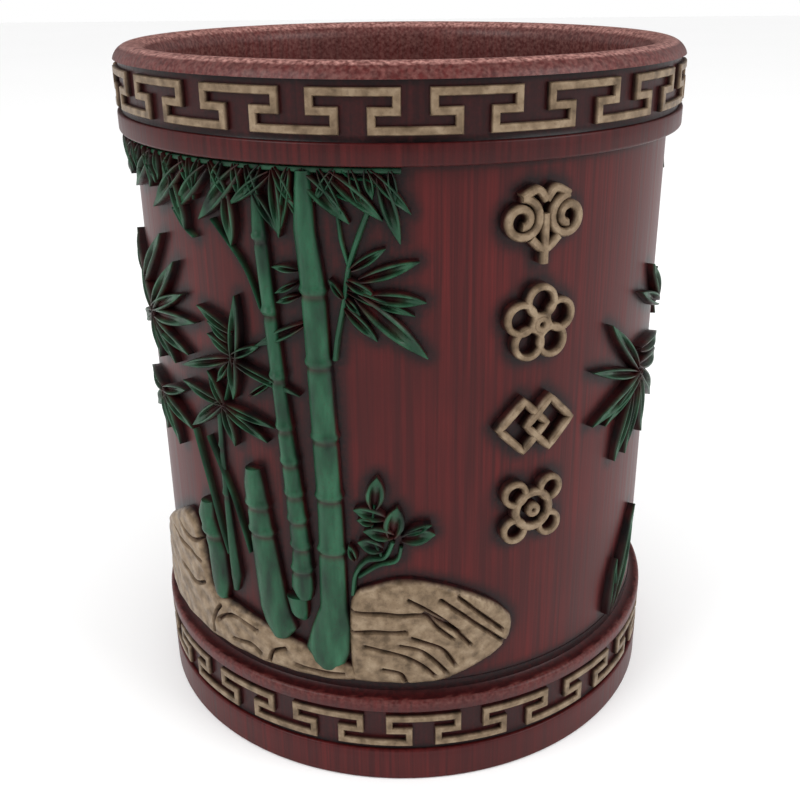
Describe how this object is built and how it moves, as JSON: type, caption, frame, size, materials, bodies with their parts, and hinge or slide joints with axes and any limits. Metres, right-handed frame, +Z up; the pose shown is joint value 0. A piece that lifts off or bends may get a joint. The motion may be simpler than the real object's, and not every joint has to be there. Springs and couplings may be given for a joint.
{
  "type": "brush pot",
  "caption": "Round open pot for writing brushes, with a ring at the rim and the foot, fret bands and bamboo in low relief.",
  "frame": {"origin": "centre of the underside, on the surface that the pot stands on", "axes": "+Z up along the pot's axis, -Y towards the front with the tall culm, +X to its right"},
  "size_m": [0.1, 0.1, 0.1235],
  "materials": {
    "red_lacquer": "semi-gloss lacquer",
    "aged_bronze": "aged, matt",
    "bamboo_green": "satin paint"
  },
  "bodies": {
    "root": {"wall_tube": "red_lacquer", "floor_disc": "red_lacquer", "rim_ring": "red_lacquer", "foot_ring": "red_lacquer", "rim_fret": "aged_bronze", "foot_fret": "aged_bronze", "rock_right": "aged_bronze", "ground_left": "aged_bronze", "rock_back": "aged_bronze", "ornament_cloud": "aged_bronze", "ornament_blossom": "aged_bronze", "ornament_lozenges": "aged_bronze", "ornament_knot": "aged_bronze", "culm_front": "bamboo_green", "culm_second": "bamboo_green", "stump_near": "bamboo_green", "stump_left": "bamboo_green", "bulb_low": "bamboo_green", "culm_thin_left": "bamboo_green", "culm_back_a": "bamboo_green", "culm_back_b": "bamboo_green", "culm_back_c": "bamboo_green", "canopy_front": "bamboo_green", "twig_spray": "bamboo_green", "star_upper": "bamboo_green", "star_lower": "bamboo_green", "spray_left_upper": "bamboo_green", "spray_left_lower": "bamboo_green", "shrub_sprig": "bamboo_green", "spray_right": "bamboo_green", "leaf_right": "bamboo_green", "shoot_right": "bamboo_green", "canopy_back": "bamboo_green", "spray_back_a": "bamboo_green", "spray_back_b": "bamboo_green", "spray_back_c": "bamboo_green", "spray_back_d": "bamboo_green"}
  },
  "joints": []
}
